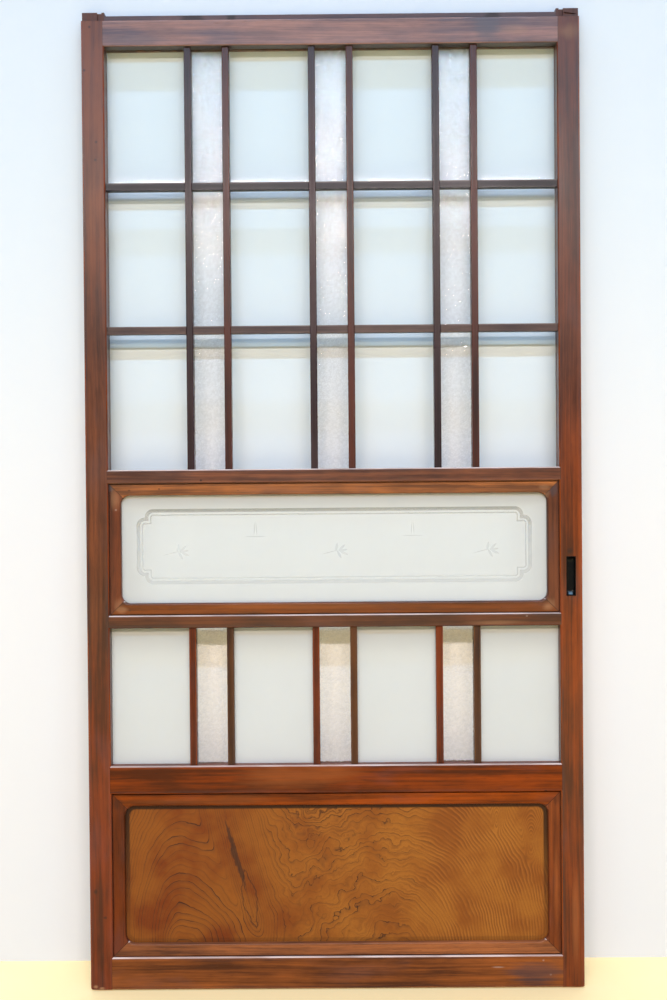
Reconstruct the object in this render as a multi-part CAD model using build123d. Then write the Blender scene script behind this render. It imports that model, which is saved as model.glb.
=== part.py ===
from build123d import *
import os

# A sliding glass door leaf of stained wood. From the top it has a lattice of clear and textured
# glass, an etched pane in a mitred frame, a band of frosted glass and a figured wood panel.
# X runs to the right, Y from the front to the back, and Z up, all in millimetres.
# The origin is the middle of the bottom edge.

# Overall size
HEIGHT = 1758.0
WIDTH = 890.0
THICKNESS = 30.0

# Stiles and rails, flush with each other. An arris is the bevel along an edge: a wide one round
# each field, a narrow one along the outer edges.
STILE_WIDTH = 40.0
BOTTOM_RAIL_HEIGHT = 57.0
LOWER_MID_RAIL_HEIGHT = 50.5
MIDDLE_RAIL_HEIGHT = 23.0
UPPER_MID_RAIL_HEIGHT = 24.5
TOP_RAIL_HEIGHT = 46.0
FIELD_ARRIS = 2.0
OUTER_ARRIS = 1.0

# Fields between the rails. The upper glass takes what is left of the height.
PANEL_FIELD_HEIGHT = 295.5
LOWER_GLASS_HEIGHT = 248.5
ETCHED_FIELD_HEIGHT = 237.5

# The head runs in the groove above the door: horns on the stiles, a tongue on the top rail
HORN_HEIGHT = 18.0
TONGUE_HEIGHT = 12.0
HEAD_SETBACK = 9.0
HORN_NOTCH_INSET = 5.0
HORN_NOTCH_WIDTH = 8.0
HORN_NOTCH_DEPTH = 5.0

# A tapered cut in the front of the right horn
HORN_CUT_INSET = 14.5
HORN_CUT_RISE = 7.0
HORN_CUT_LENGTH = 21.5
HORN_CUT_HEIGHT = 4.6
HORN_CUT_TIP = 1.4
HORN_CUT_DEPTH = 3.0

# The outer bottom corners are worn round, the left one more
LEFT_FOOT_ROUND = 4.5
RIGHT_FOOT_ROUND = 2.5

# Blind tenons of the rails
TENON_THICKNESS = 8.0
TENON_LENGTH = 28.0
TENON_INSET = 7.0
TENON_CLEARANCE = 0.1
MORTISE_END_GAP = 1.0

# Lattice bars and the bays between them, wide and narrow in turn
BAR_WIDTH = 12.3
CROSS_BAR_HEIGHT = 14.0
BAR_SETBACK = 6.5
BAR_ARRIS = 0.8
NARROW_BAY = 55.7
TOP_ROW_LESS = 1.6
BAR_COUNT = 6
LAP_CLEARANCE = 0.05
STUB_WIDTH = 7.0
STUB_THICKNESS = 6.0
STUB_LENGTH = 8.0

# Glass, held against the bars from behind. The beads end flush with the backs of the rails.
GLASS_THICKNESS = 3.0
REBATE_WIDTH = 8.0
PANE_EDGE_GAP = 1.0
BEAD_THICKNESS = 8.0
BEAD_GAP = 0.2
STRIP_THICKNESS = 5.0
STRIP_TONGUE_WIDTH = 4.0
STRIP_TONGUE_GAP = 0.3
STRIP_END_GAP = 0.3

# Mitred frames round the etched pane and the wood panel
FRAME_THICKNESS = 22.0
ETCHED_MOULDING_WIDTH = 21.5
PANEL_MOULDING_WIDTH = 23.0
ETCHED_CORNER_RADIUS = 16.0
PANEL_CORNER_RADIUS = 18.0
MOULDING_ROUND = 3.0
QUIRK_WIDTH = 2.3
QUIRK_DEPTH = 4.0
FRAME_TONGUE_THICKNESS = 6.0
FRAME_TONGUE_LENGTH = 5.0
FRAME_TONGUE_CLEARANCE = 0.1
FRAME_GROOVE_END_GAP = 0.5
INLAY_COVER = 5.5
INLAY_EDGE_GAP = 0.5
INLAY_CLEARANCE = 0.1
PANEL_THICKNESS = 6.0

# Finger pulls, one let into each face of the right stile
PULL_LEVEL = 740.0
PULL_WIDTH = 17.0
PULL_HEIGHT = 71.0
PULL_RIM = 1.4
PULL_RIM_THICKNESS = 0.8
PULL_DEPTH = 9.0
PULL_WALL = 0.8
PULL_CLEARANCE = 0.1

# Rollers, one let into the bottom rail near each end
ROLLER_INSET = 110.0
ROLLER_DIAMETER = 26.0
ROLLER_WIDTH = 7.0
ROLLER_DROP = 2.5
ROLLER_GROOVE_DEPTH = 2.6
ROLLER_SIDE_GAP = 0.4
ROLLER_AXLE_DIAMETER = 4.0
ROLLER_AXLE_CLEARANCE = 0.05
HOUSING_WALL = 1.2
HOUSING_LENGTH = 44.0
HOUSING_HEADROOM = 1.5
HOUSING_PLATE_LENGTH = 76.0
HOUSING_PLATE_THICKNESS = 1.5
HOUSING_CLEARANCE = 0.1

# Places that follow from the sizes above
INNER_WIDTH = WIDTH - 2 * STILE_WIDTH
FRONT = -THICKNESS / 2
BACK = THICKNESS / 2
GLASS_BACK = BACK - BEAD_THICKNESS
GLASS_FRONT = GLASS_BACK - GLASS_THICKNESS
BAR_FRONT = FRONT + BAR_SETBACK
LAP_PLANE = (BAR_FRONT + GLASS_FRONT) / 2
WIDE_BAY = (INNER_WIDTH - BAR_COUNT * BAR_WIDTH - BAR_COUNT // 2 * NARROW_BAY) / (BAR_COUNT // 2 + 1)
PULL_CENTRE = WIDTH / 2 - STILE_WIDTH / 2


def stack(base, height):
    """The low and high level of a member that stands on the given level."""
    return (base, base + height)


bottom_rail = stack(0.0, BOTTOM_RAIL_HEIGHT)
panel_field = stack(bottom_rail[1], PANEL_FIELD_HEIGHT)
lower_mid_rail = stack(panel_field[1], LOWER_MID_RAIL_HEIGHT)
lower_glass = stack(lower_mid_rail[1], LOWER_GLASS_HEIGHT)
middle_rail = stack(lower_glass[1], MIDDLE_RAIL_HEIGHT)
etched_field = stack(middle_rail[1], ETCHED_FIELD_HEIGHT)
upper_mid_rail = stack(etched_field[1], UPPER_MID_RAIL_HEIGHT)
top_rail = stack(HEIGHT - HORN_HEIGHT - TOP_RAIL_HEIGHT, TOP_RAIL_HEIGHT)
upper_glass = (upper_mid_rail[1], top_rail[0])
SHOULDER = top_rail[1]


def block(x, y, z):
    """A box between two X, two Y and two Z places."""
    spans = (x, y, z)
    middle = [(low + high) / 2 for low, high in spans]
    return Pos(*middle) * Box(*[high - low for low, high in spans])


def area(u, v):
    """A flat rectangle between two places along each of its plane's directions."""
    return Pos((u[0] + u[1]) / 2, (v[0] + v[1]) / 2) * Rectangle(u[1] - u[0], v[1] - v[0])


def along_x(section, x):
    """Extrude a section drawn in Y and Z."""
    return extrude(Plane.YZ.offset(x[0]) * section, x[1] - x[0])


def along_z(section, z):
    """Extrude a section drawn in X and Y."""
    return extrude(Plane.XY.offset(z[0]) * section, z[1] - z[0])


def through_y(outline, y):
    """Extrude an outline drawn in X and Z from the front to the back."""
    return extrude(Plane.XZ.offset(-y[1]) * outline, y[1] - y[0])


def grown(span, amount):
    """A span with both ends moved out."""
    return (span[0] - amount, span[1] + amount)


def centred(middle, size):
    """A span of the given size about its middle."""
    return (middle - size / 2, middle + size / 2)


def bay_spans():
    """The X span of each clear bay, from left to right."""
    spans = []
    x = -INNER_WIDTH / 2
    for bay in range(BAR_COUNT + 1):
        width = WIDE_BAY if bay % 2 == 0 else NARROW_BAY
        spans.append((x, x + width))
        x += width + BAR_WIDTH
    return spans


BAYS = bay_spans()
BAR_CENTRES = [bay[1] + BAR_WIDTH / 2 for bay in BAYS[:-1]]
CROSS_BAR_COUNT = 2
rows_height = upper_glass[1] - upper_glass[0] - CROSS_BAR_COUNT * CROSS_BAR_HEIGHT
lower_row = (rows_height + TOP_ROW_LESS) / (CROSS_BAR_COUNT + 1)
CROSS_BAR_LEVELS = [
    upper_glass[0] + lower_row + row * (lower_row + CROSS_BAR_HEIGHT)
    for row in range(CROSS_BAR_COUNT)
]
STUB_Y = centred(LAP_PLANE, STUB_THICKNESS)


def stile_blank():
    """The right stile before anything is cut in it, with its arrises from end to end."""
    inner = INNER_WIDTH / 2
    section = area((inner, inner + STILE_WIDTH), (FRONT, BACK))
    section = chamfer(section.vertices().sort_by(Axis.X)[:2], FIELD_ARRIS)
    section = chamfer(section.vertices().sort_by(Axis.X)[-2:], OUTER_ARRIS)
    return along_z(section, (0, HEIGHT))


RIGHT_BLANK = stile_blank()
LEFT_BLANK = mirror(RIGHT_BLANK, Plane.YZ)


def rail_section(level, rebate_sides=(), groove_sides=()):
    """Section of a rail. A side is 1 for its upper edge and -1 for its lower edge."""
    section = area(centred(0, THICKNESS), level)
    for side in (-1, 1):
        corners = section.vertices().sort_by(Axis.Y)
        at_field = side in rebate_sides or side in groove_sides
        arris = FIELD_ARRIS if at_field else OUTER_ARRIS
        section = chamfer(corners[:2] if side < 0 else corners[-2:], arris)
    for side in rebate_sides:
        edge = level[0] if side < 0 else level[1]
        section -= area((GLASS_FRONT, BACK), sorted((edge, edge - side * REBATE_WIDTH)))
    for side in groove_sides:
        edge = level[0] if side < 0 else level[1]
        depth = FRAME_TONGUE_LENGTH + FRAME_GROOVE_END_GAP
        width = FRAME_TONGUE_THICKNESS + 2 * FRAME_TONGUE_CLEARANCE
        section -= area(centred(0, width), sorted((edge, edge - side * depth)))
    return section


def tenon_span(level):
    """Height of the tenon on a rail that stands between two levels."""
    return grown(level, -TENON_INSET)


def coped(section):
    """A length from stile to stile whose shoulders are coped over the arrises of the stiles."""
    whole = along_x(section, centred(0, INNER_WIDTH + 2 * FIELD_ARRIS))
    return whole - RIGHT_BLANK - LEFT_BLANK


def make_rail(level, bar_side=0, **cuts):
    """A rail with a blind tenon on each end and stub mortises for the bars on one edge."""
    rail = coped(rail_section(level, **cuts))
    reach = INNER_WIDTH + 2 * TENON_LENGTH
    rail += block(centred(0, reach), centred(0, TENON_THICKNESS), tenon_span(level))
    if bar_side:
        edge = level[0] if bar_side < 0 else level[1]
        depth = STUB_LENGTH + MORTISE_END_GAP
        mortise = sorted((edge, edge - bar_side * depth))
        for centre in BAR_CENTRES:
            across = centred(centre, STUB_WIDTH + 2 * TENON_CLEARANCE)
            rail -= block(across, grown(STUB_Y, TENON_CLEARANCE), mortise)
    return rail


def make_top_rail():
    """The top rail carries the tongue that runs in the head groove."""
    rail = make_rail(top_rail, bar_side=-1, rebate_sides=(-1,))
    tongue = area((FRONT + HEAD_SETBACK, BACK), (SHOULDER - OUTER_ARRIS, SHOULDER + TONGUE_HEIGHT))
    top_corners = tongue.vertices().sort_by(Axis.Y)[-2:]
    return rail + coped(chamfer(top_corners, OUTER_ARRIS))


def make_stile():
    """The right stile, without its finger pulls."""
    inner = INNER_WIDTH / 2
    stile = RIGHT_BLANK

    # The horn stands behind the shoulder, with a notch near its inner corner
    across = (inner - 1, inner + STILE_WIDTH + 1)
    above = (SHOULDER, HEIGHT + 1)
    head_front = FRONT + HEAD_SETBACK
    stile -= block(across, (FRONT - 1, head_front), above)
    notch_x = stack(inner + HORN_NOTCH_INSET, HORN_NOTCH_WIDTH)
    stile -= block(notch_x, stack(head_front, HORN_NOTCH_DEPTH), above)

    # Glass rebates open to the back
    for field in (lower_glass, upper_glass):
        rebate_x = (inner - 1, inner + REBATE_WIDTH)
        stile -= block(rebate_x, (GLASS_FRONT, BACK + 1), grown(field, REBATE_WIDTH))

    # Grooves for the tongues of the mitred frames
    groove_depth = FRAME_TONGUE_LENGTH + FRAME_GROOVE_END_GAP
    groove_y = centred(0, FRAME_TONGUE_THICKNESS + 2 * FRAME_TONGUE_CLEARANCE)
    for field in (panel_field, etched_field):
        stile -= block((inner, inner + groove_depth), groove_y, grown(field, groove_depth))

    # Blind mortises for the rails and stub mortises for the cross bars
    mortise_x = (inner, inner + TENON_LENGTH + MORTISE_END_GAP)
    mortise_y = centred(0, TENON_THICKNESS + 2 * TENON_CLEARANCE)
    for level in (bottom_rail, lower_mid_rail, middle_rail, upper_mid_rail, top_rail):
        stile -= block(mortise_x, mortise_y, grown(tenon_span(level), TENON_CLEARANCE))
    stub_x = (inner, inner + STUB_LENGTH + MORTISE_END_GAP)
    for level in CROSS_BAR_LEVELS:
        stub_z = centred(level + CROSS_BAR_HEIGHT / 2, STUB_WIDTH + 2 * TENON_CLEARANCE)
        stile -= block(stub_x, grown(STUB_Y, TENON_CLEARANCE), stub_z)
    return stile


def horn_cut():
    """Space of the cut in the right horn: high at its inner end, thin at its outer end."""
    inner_end = INNER_WIDTH / 2 + HORN_CUT_INSET
    outer_end = inner_end + HORN_CUT_LENGTH
    base = SHOULDER + HORN_CUT_RISE
    corners = (
        (inner_end, base),
        (outer_end, base),
        (outer_end, base + HORN_CUT_TIP),
        (inner_end, base + HORN_CUT_HEIGHT),
    )
    outline = make_face(Polyline(*corners, close=True))
    return through_y(outline, stack(FRONT + HEAD_SETBACK, HORN_CUT_DEPTH))


def foot_waste(side, radius):
    """What is worn off the outer bottom corner. The side is -1 for the left stile, 1 for the right."""
    outer = side * WIDTH / 2
    corner = area(sorted((outer, outer - side * radius)), (0, radius))
    corner -= Pos(outer - side * radius, radius) * Circle(radius)
    return through_y(corner, (FRONT, BACK))


def pull_mortise(side):
    """Space cut in the stile for a pull. The side is -1 for the front face, 1 for the back."""
    face = side * THICKNESS / 2
    rim_x = grown(centred(PULL_CENTRE, PULL_WIDTH), PULL_CLEARANCE)
    rim_z = grown(centred(PULL_LEVEL, PULL_HEIGHT), PULL_CLEARANCE)
    rim_y = sorted((face, face - side * PULL_RIM_THICKNESS))
    cup_x = grown(rim_x, PULL_WALL - PULL_RIM)
    cup_z = grown(rim_z, PULL_WALL - PULL_RIM)
    cup_y = sorted((face, face - side * (PULL_DEPTH + PULL_WALL + PULL_CLEARANCE)))
    return block(rim_x, rim_y, rim_z) + block(cup_x, cup_y, cup_z)


def make_pull(side):
    """A cup with a thin flat rim. Its floor curves up to the rim at both ends."""
    face = side * THICKNESS / 2
    mouth_width = PULL_WIDTH - 2 * PULL_RIM
    mouth_height = PULL_HEIGHT - 2 * PULL_RIM

    def scoop(wall):
        length = mouth_height + 2 * wall
        depth = PULL_DEPTH + wall
        side_view = Pos(face, PULL_LEVEL) * SlotOverall(length, 2 * depth, rotation=90)
        return along_x(side_view, centred(PULL_CENTRE, mouth_width + 2 * wall))

    rim_y = sorted((face, face - side * PULL_RIM_THICKNESS))
    rim = block(centred(PULL_CENTRE, PULL_WIDTH), rim_y, centred(PULL_LEVEL, PULL_HEIGHT))
    inside_y = sorted((face, face - side * (PULL_DEPTH + 2 * PULL_WALL)))
    cup = scoop(PULL_WALL) & block(centred(PULL_CENTRE, WIDTH), inside_y, (0, HEIGHT))
    return rim + cup - scoop(0)


def make_bar(field, lap_levels=()):
    """A lattice bar at X = 0, lapped at its back over the cross bars."""
    section = area(centred(0, BAR_WIDTH), (BAR_FRONT, GLASS_FRONT))
    front_arrises = section.vertices().sort_by(Axis.Y)[:2]
    bar = along_z(chamfer(front_arrises, BAR_ARRIS), field)
    bar += block(centred(0, STUB_WIDTH), STUB_Y, grown(field, STUB_LENGTH))
    for level in lap_levels:
        lap = grown((level, level + CROSS_BAR_HEIGHT), LAP_CLEARANCE)
        bar -= block(centred(0, BAR_WIDTH), (LAP_PLANE, GLASS_FRONT), lap)
    return bar


def make_cross_bar(level):
    """A cross bar, lapped at its front under the upright bars."""
    section = area((BAR_FRONT, GLASS_FRONT), (level, level + CROSS_BAR_HEIGHT))
    front_arrises = section.vertices().sort_by(Axis.X)[:2]
    bar = along_x(chamfer(front_arrises, BAR_ARRIS), centred(0, INNER_WIDTH))
    stub_z = centred(level + CROSS_BAR_HEIGHT / 2, STUB_WIDTH)
    bar += block(centred(0, INNER_WIDTH + 2 * STUB_LENGTH), STUB_Y, stub_z)
    for centre in BAR_CENTRES:
        lap = grown(centred(centre, BAR_WIDTH), LAP_CLEARANCE)
        bar -= block(lap, (BAR_FRONT, LAP_PLANE), (level, level + CROSS_BAR_HEIGHT))
    return bar


def make_pane(bay, field):
    """One pane behind a column of the lattice, with its edges covered by wood."""
    at_bar = STRIP_TONGUE_WIDTH / 2 + STRIP_TONGUE_GAP - BAR_WIDTH / 2
    at_stile = PANE_EDGE_GAP - REBATE_WIDTH
    left = bay[0] + (at_stile if BAYS.index(bay) == 0 else at_bar)
    right = bay[1] - (at_stile if BAYS.index(bay) == BAR_COUNT else at_bar)
    return block((left, right), (GLASS_FRONT, GLASS_BACK), grown(field, REBATE_WIDTH - PANE_EDGE_GAP))


def make_panes(field, first):
    """Every second pane of a lattice, starting with the given bay."""
    return [make_pane(bay, field) for bay in BAYS[first::2]]


def make_rear_strips(field):
    """Strips of T section that hold the panes to the bars from behind."""
    strips = []
    for centre in BAR_CENTRES:
        flange = area(centred(centre, BAR_WIDTH), stack(GLASS_BACK, STRIP_THICKNESS))
        back_arrises = flange.vertices().sort_by(Axis.Y)[-2:]
        section = chamfer(back_arrises, BAR_ARRIS)
        section += area(centred(centre, STRIP_TONGUE_WIDTH), (GLASS_FRONT, GLASS_BACK))
        strips.append(along_z(section, grown(field, -STRIP_END_GAP)))
    return strips


def make_edge_beads(field):
    """Beads that fill the rebates round a glazed field: two upright, two level."""
    bead_y = stack(GLASS_BACK, BEAD_THICKNESS)
    bead_width = REBATE_WIDTH - BEAD_GAP
    rebate_z = grown(field, REBATE_WIDTH)
    beads = []
    for side in (-1, 1):
        outer = side * (INNER_WIDTH / 2 + REBATE_WIDTH - BEAD_GAP)
        bead_x = sorted((outer, outer - side * bead_width))
        beads.append(block(bead_x, bead_y, grown(rebate_z, -BEAD_GAP)))
    level_x = grown(centred(0, INNER_WIDTH), -STRIP_END_GAP)
    for edge, side in ((field[0], -1), (field[1], 1)):
        bead_z = sorted((edge, edge + side * bead_width))
        beads.append(block(level_x, bead_y, bead_z))
    return beads


def make_frame_ring(field, moulding, radius, inlay_thickness):
    """A whole mitred frame before it is cut at the mitres, centred on its field."""
    width = INNER_WIDTH
    height = field[1] - field[0]
    opening_width = width - 2 * moulding
    opening_height = height - 2 * moulding
    outer = Rectangle(width, height)
    opening = RectangleRounded(opening_width, opening_height, radius)
    half = FRAME_THICKNESS / 2
    ring = through_y(outer - opening, (-half, half))

    def round_opening(edge):
        middle = edge.center()
        inside = abs(middle.X) < width / 2 - 1 and abs(middle.Z) < height / 2 - 1
        return inside and abs(middle.Y) > half - MOULDING_ROUND / 2

    ring = fillet(ring.edges().filter_by(round_opening), MOULDING_ROUND)

    # A quirk outside the moulding keeps it apart from the rails and stiles at each face
    rim = outer - Rectangle(width - 2 * QUIRK_WIDTH, height - 2 * QUIRK_WIDTH)
    ring -= through_y(rim, (-half, QUIRK_DEPTH - half))
    ring -= through_y(rim, (half - QUIRK_DEPTH, half))

    reach = 2 * FRAME_TONGUE_LENGTH
    tongue = Rectangle(width + reach, height + reach) - outer
    ring += through_y(tongue, centred(0, FRAME_TONGUE_THICKNESS))
    groove_reach = 2 * (INLAY_COVER + INLAY_EDGE_GAP)
    groove = Rectangle(opening_width + groove_reach, opening_height + groove_reach)
    ring -= through_y(groove, centred(0, inlay_thickness + 2 * INLAY_CLEARANCE))
    return Pos(0, 0, (field[0] + field[1]) / 2) * ring


def make_frame_pieces(field, moulding, radius, inlay_thickness):
    """Cut a frame at its four mitres into a top, a bottom, a left and a right piece."""
    ring = make_frame_ring(field, moulding, radius, inlay_thickness)
    middle = (field[0] + field[1]) / 2
    half_width = INNER_WIDTH / 2
    half_height = (field[1] - field[0]) / 2
    out = 2 * FRAME_TONGUE_LENGTH
    deep = moulding + radius
    far = (half_width + out, half_height + out)
    near = (half_width - deep, half_height - deep)

    def wedge(points):
        outline = make_face(Polyline(*points, close=True))
        return through_y(Pos(0, middle) * outline, centred(0, FRAME_THICKNESS))

    pieces = {}
    for name, side in (("bottom", -1), ("top", 1)):
        corners = [(-far[0], far[1]), (far[0], far[1]), (near[0], near[1]), (-near[0], near[1])]
        pieces[name] = ring & wedge([(x, side * z) for x, z in corners])
    for name, side in (("left", -1), ("right", 1)):
        corners = [(far[0], -far[1]), (far[0], far[1]), (near[0], near[1]), (near[0], -near[1])]
        pieces[name] = ring & wedge([(side * x, z) for x, z in corners])
    return pieces


def make_inlay(field, moulding, thickness):
    """The pane or board that the grooves of a mitred frame hold."""
    across = grown(centred(0, INNER_WIDTH), INLAY_COVER - moulding)
    return block(across, centred(0, thickness), grown(field, INLAY_COVER - moulding))


ROLLER_CENTRE_LEVEL = ROLLER_DIAMETER / 2 - ROLLER_DROP
HOUSING_WIDTH = ROLLER_WIDTH + 2 * ROLLER_SIDE_GAP + 2 * HOUSING_WALL
HOUSING_TOP = ROLLER_CENTRE_LEVEL + ROLLER_DIAMETER / 2 + HOUSING_HEADROOM + HOUSING_WALL
ROLLER_PLACES = (ROLLER_INSET - WIDTH / 2, WIDTH / 2 - ROLLER_INSET)


def roller_mortise(x):
    """Space cut in the underside of the bottom rail for a roller housing."""
    length = HOUSING_LENGTH + 2 * HOUSING_CLEARANCE
    width = HOUSING_WIDTH + 2 * HOUSING_CLEARANCE
    top = HOUSING_TOP + HOUSING_CLEARANCE
    plate_length = HOUSING_PLATE_LENGTH + 2 * HOUSING_CLEARANCE
    body = block(centred(x, length), centred(0, width), (0, top))
    plate = block(centred(x, plate_length), centred(0, width), (0, HOUSING_PLATE_THICKNESS))
    return body + plate


def make_roller_housing(x):
    """A channel open below, with a plate at each end flush with the rail."""
    housing = block(centred(x, HOUSING_LENGTH), centred(0, HOUSING_WIDTH), (0, HOUSING_TOP))
    plate_x = centred(x, HOUSING_PLATE_LENGTH)
    housing += block(plate_x, centred(0, HOUSING_WIDTH), (0, HOUSING_PLATE_THICKNESS))
    inside_x = centred(x, HOUSING_LENGTH - 2 * HOUSING_WALL)
    inside_y = centred(0, HOUSING_WIDTH - 2 * HOUSING_WALL)
    housing -= block(inside_x, inside_y, (0, HOUSING_TOP - HOUSING_WALL))
    hole_radius = ROLLER_AXLE_DIAMETER / 2 + ROLLER_AXLE_CLEARANCE
    hole = Pos(x, ROLLER_CENTRE_LEVEL) * Circle(hole_radius)
    return housing - through_y(hole, centred(0, HOUSING_WIDTH))


def make_roller_axle(x):
    """The pin that carries a wheel between the walls of its housing."""
    pin = Pos(x, ROLLER_CENTRE_LEVEL) * Circle(ROLLER_AXLE_DIAMETER / 2)
    return through_y(pin, centred(0, HOUSING_WIDTH))


def make_roller_wheel(x):
    """A wheel with a V groove in its rim, turned about its axle."""
    bore = ROLLER_AXLE_DIAMETER / 2 + ROLLER_AXLE_CLEARANCE
    section = area((bore, ROLLER_DIAMETER / 2), centred(0, ROLLER_WIDTH))
    section -= Pos(ROLLER_DIAMETER / 2, 0) * RegularPolygon(ROLLER_GROOVE_DEPTH, 4)
    turned = revolve(Plane.XY * section, Axis.Y)
    return Pos(x, 0, ROLLER_CENTRE_LEVEL) * turned


def write_node(name, solids):
    """Write one node. Several solids of a node stay apart from each other."""
    if isinstance(solids, list):
        solids = Compound(children=solids)
    export_step(solids, os.path.join("parts", name + ".step"))


os.makedirs("parts", exist_ok=True)
nodes = {}

# Outer frame
stile = make_stile()
nodes["left_stile"] = mirror(stile, Plane.YZ) - foot_waste(-1, LEFT_FOOT_ROUND)
right_stile = stile - foot_waste(1, RIGHT_FOOT_ROUND) - horn_cut()
nodes["right_stile"] = right_stile - pull_mortise(-1) - pull_mortise(1)
nodes["top_rail"] = make_top_rail()
nodes["upper_mid_rail"] = make_rail(upper_mid_rail, 1, rebate_sides=(1,), groove_sides=(-1,))
nodes["middle_rail"] = make_rail(middle_rail, -1, rebate_sides=(-1,), groove_sides=(1,))
nodes["lower_mid_rail"] = make_rail(lower_mid_rail, 1, rebate_sides=(1,), groove_sides=(-1,))
bottom = make_rail(bottom_rail, groove_sides=(1,))
for place in ROLLER_PLACES:
    bottom -= roller_mortise(place)
nodes["bottom_rail"] = bottom

# Lattices
upper_bar = make_bar(upper_glass, CROSS_BAR_LEVELS)
lower_bar = make_bar(lower_glass)
for number, centre in enumerate(BAR_CENTRES, start=1):
    nodes[f"upper_bar_{number}"] = Pos(centre, 0, 0) * upper_bar
    nodes[f"lower_bar_{number}"] = Pos(centre, 0, 0) * lower_bar
for number, level in enumerate(CROSS_BAR_LEVELS, start=1):
    nodes[f"upper_cross_bar_{number}"] = make_cross_bar(level)

# Glass of the lattices and what holds it
nodes["upper_clear_panes"] = make_panes(upper_glass, 0)
nodes["upper_textured_panes"] = make_panes(upper_glass, 1)
nodes["lower_frosted_panes"] = make_panes(lower_glass, 0)
nodes["lower_textured_panes"] = make_panes(lower_glass, 1)
for name, field in (("upper", upper_glass), ("lower", lower_glass)):
    nodes[name + "_rear_strips"] = make_rear_strips(field)
    nodes[name + "_edge_beads"] = make_edge_beads(field)

# Mitred frames with the etched pane and the wood panel
framed = (
    ("etched_frame", etched_field, ETCHED_MOULDING_WIDTH, ETCHED_CORNER_RADIUS, GLASS_THICKNESS),
    ("panel_frame", panel_field, PANEL_MOULDING_WIDTH, PANEL_CORNER_RADIUS, PANEL_THICKNESS),
)
for name, field, moulding, radius, thickness in framed:
    for piece, solid in make_frame_pieces(field, moulding, radius, thickness).items():
        nodes[f"{name}_{piece}"] = solid
nodes["etched_glass"] = make_inlay(etched_field, ETCHED_MOULDING_WIDTH, GLASS_THICKNESS)
nodes["wood_panel"] = make_inlay(panel_field, PANEL_MOULDING_WIDTH, PANEL_THICKNESS)

# Fittings
nodes["finger_pull_front"] = make_pull(-1)
nodes["finger_pull_back"] = make_pull(1)
nodes["roller_housings"] = [make_roller_housing(place) for place in ROLLER_PLACES]
nodes["roller_axles"] = [make_roller_axle(place) for place in ROLLER_PLACES]
nodes["roller_wheels"] = [make_roller_wheel(place) for place in ROLLER_PLACES]

for name, solids in nodes.items():
    write_node(name, solids)
print(len(nodes), "nodes written")
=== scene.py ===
"""Looks of the sliding glass door leaf: stained wood, glass, fittings, stage, light and camera."""
import math

import bmesh
import bpy
from mathutils import Matrix, Vector, noise


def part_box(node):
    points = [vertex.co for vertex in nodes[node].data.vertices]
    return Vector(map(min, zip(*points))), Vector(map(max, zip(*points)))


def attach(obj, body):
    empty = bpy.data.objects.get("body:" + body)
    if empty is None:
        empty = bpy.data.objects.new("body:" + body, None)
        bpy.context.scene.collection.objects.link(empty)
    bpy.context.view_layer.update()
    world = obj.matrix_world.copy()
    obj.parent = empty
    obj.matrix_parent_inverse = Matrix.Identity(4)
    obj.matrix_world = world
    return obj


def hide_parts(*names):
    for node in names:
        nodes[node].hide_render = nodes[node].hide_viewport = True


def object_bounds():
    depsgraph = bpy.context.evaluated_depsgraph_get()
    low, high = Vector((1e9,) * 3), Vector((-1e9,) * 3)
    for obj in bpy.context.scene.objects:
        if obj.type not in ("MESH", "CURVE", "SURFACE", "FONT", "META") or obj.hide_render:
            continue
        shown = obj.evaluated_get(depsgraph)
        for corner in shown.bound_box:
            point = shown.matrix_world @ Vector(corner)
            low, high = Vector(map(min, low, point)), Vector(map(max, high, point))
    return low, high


MM = 0.001

# Camera, fitted to the outline, the bars and the rails of the leaf
CAMERA_PLACE = (0.0081, -2.0, 0.9007)
CAMERA_PITCH = -0.602
CAMERA_ROLL = 0.469
CAMERA_YAW = 0.243
SENSOR = 36.0
LENS = 39.834

# Three rows of lamps hang under a ceiling, side to side: distance in front, power, colour
LAMP_ROWS = {
    "near": (0.55, 13.1, (0.32, 0.56, 1.0)),
    "middle": (2.2, 65.0, (0.35, 0.64, 1.0)),
    "far": (4.22, 375.0, (1.0, 0.83, 0.75)),
}
LAMP_HEIGHT = 2.6
LAMP_LENGTH = 3.0
LAMP_WIDTH = 0.05
REAR_PLACE = (-0.6, 3.0, LAMP_HEIGHT)
REAR_WIDTH = 1.0
REAR_POWER = 22.0
REAR_COLOUR = (1.0, 0.99, 0.97)

# The backdrop leans on the leaf's top edge and stands clear of its foot
WALL_GAP_TOP = 3.5 * MM
WALL_GAP_FOOT = 99 * MM
WALL_HALF_WIDTH = 2.6
WALL_HEIGHT = 2.7
FLOOR_HALF = 6.0
FLOOR_DROP = 0.2 * MM

# The floor lights the leaf less than it shows, and the wall turns bluer with height
FLOOR_LIT = (0.62, 0.52, 0.27)
FLOOR_SEEN = (1.0, 0.89, 0.50)
FLOOR_GLOW = (0.14, 0.065, 0.015)
WALL_LOW = (0.815, 0.865, 0.905)
WALL_HIGH = (0.750, 0.860, 0.935)
ROOM_SHADE = (1.0, 0.85, 0.62, 1.0)
ROOM_SEEN = (0.90, 0.94, 0.97, 1.0)
ROOM_STRENGTH = 0.22
WHITE = (1.0, 1.0, 1.0)
BLACK = (0.0, 0.0, 0.0)

# Where the top rail and the stiles are set back, as a height in metres
HEAD_LEVEL = 1.740

# Glass: the clear sheet and a darker one for painted shadow, two shades of each ground sheet and the
# painted shade near its frame, and how much light from the wall it passes
SHEET_IOR = 1.35
CLEAR_SHEET = (0.965, 0.995, 1.0)
SHADOW_SHEET = (0.80, 0.86, 0.92)
FROSTED_SHADES = ((0.69, 0.745, 0.745), (0.73, 0.79, 0.80))
FROSTED_TOP_SHADE = (0.45, 0.46, 0.45)
ETCHED_SHADES = ((0.70, 0.765, 0.77), (0.73, 0.795, 0.80))
ETCHED_EDGE_SHADE = (0.42, 0.43, 0.42)
GROUND_PASS = 0.8
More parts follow.
